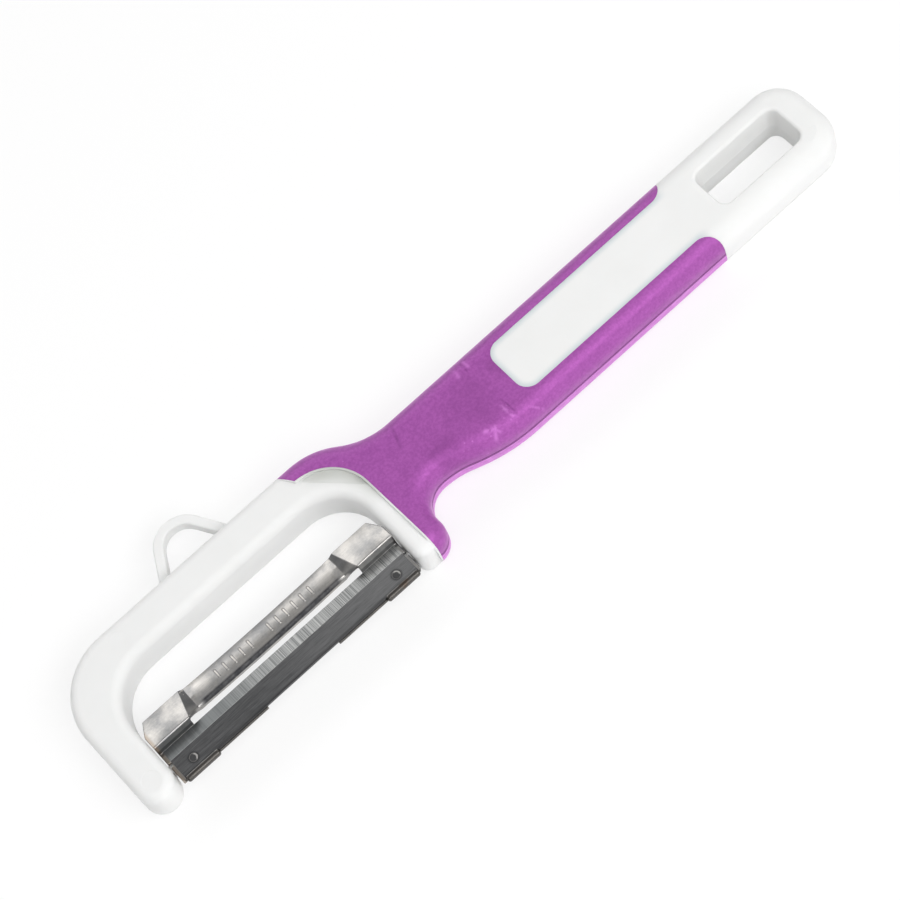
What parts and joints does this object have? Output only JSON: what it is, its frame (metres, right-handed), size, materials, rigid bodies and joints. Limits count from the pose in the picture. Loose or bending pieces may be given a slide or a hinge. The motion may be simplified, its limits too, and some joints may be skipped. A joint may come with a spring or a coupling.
{
  "type": "vegetable peeler",
  "caption": "Straight-handled peeler with a bow-shaped head, a swivelling blade in a folded carrier, an eye-remover loop and a hanging slot.",
  "frame": {"origin": "centre of the bounding box's footprint, on the ground that the back face lies on", "axes": "+X from the head to the hanging end, +Y towards the bow and the eye-remover loop, +Z out of the front face"},
  "size_m": [0.1894, 0.0453, 0.011],
  "materials": {
    "white_plastic": "satin moulded",
    "purple_grip": "matte soft touch",
    "carrier_steel": "pressed satin",
    "blade_steel": "ground bevel, brushed body"
  },
  "bodies": {
    "frame_body": {"frame": "white_plastic", "soft_grip": "purple_grip"},
    "blade_unit": {"blade_carrier": "carrier_steel", "blade": "blade_steel"}
  },
  "joints": [
    {"name": "blade_swivel", "type": "hinge", "parent": "frame_body", "child": "blade_unit", "pos_m": [-0.056, -0.0175, 0.0055], "axis": [1, 0, 0], "range_deg": [-28, 28]}
  ]
}
